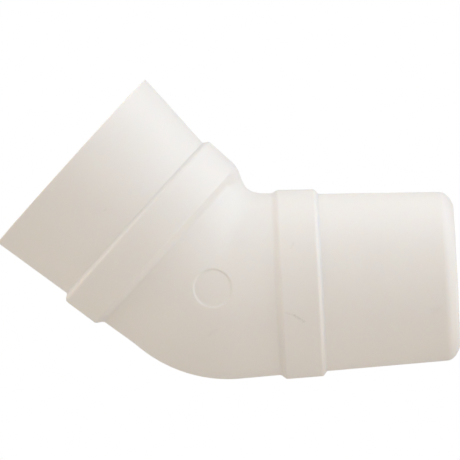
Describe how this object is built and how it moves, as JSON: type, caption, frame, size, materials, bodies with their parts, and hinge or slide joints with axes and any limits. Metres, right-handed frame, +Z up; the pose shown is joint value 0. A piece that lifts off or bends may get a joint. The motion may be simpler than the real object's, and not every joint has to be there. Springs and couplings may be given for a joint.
{
  "type": "pvc conduit elbow",
  "caption": "White PVC 45 degree conduit elbow with a flared ring-seal hub, two raised collar bands and a tapered spigot.",
  "frame": {"origin": "centre of the bounding box", "axes": "+X along the spigot axis, outward; +Z up, the hub axis is 45 degrees above -X; +Y square to the plane of the bend, away from the side with the round mark"},
  "size_m": [0.16, 0.0772, 0.1076],
  "materials": {
    "body_pvc": "satin creamy-white moulded PVC",
    "sleeve_pvc": "satin creamy-white moulded PVC",
    "seal_rubber": "matte black elastomer"
  },
  "bodies": {
    "root": {"elbow_body": "body_pvc", "hub_sleeve": "sleeve_pvc", "spigot_sleeve": "sleeve_pvc", "seal_ring": "seal_rubber"}
  },
  "joints": []
}
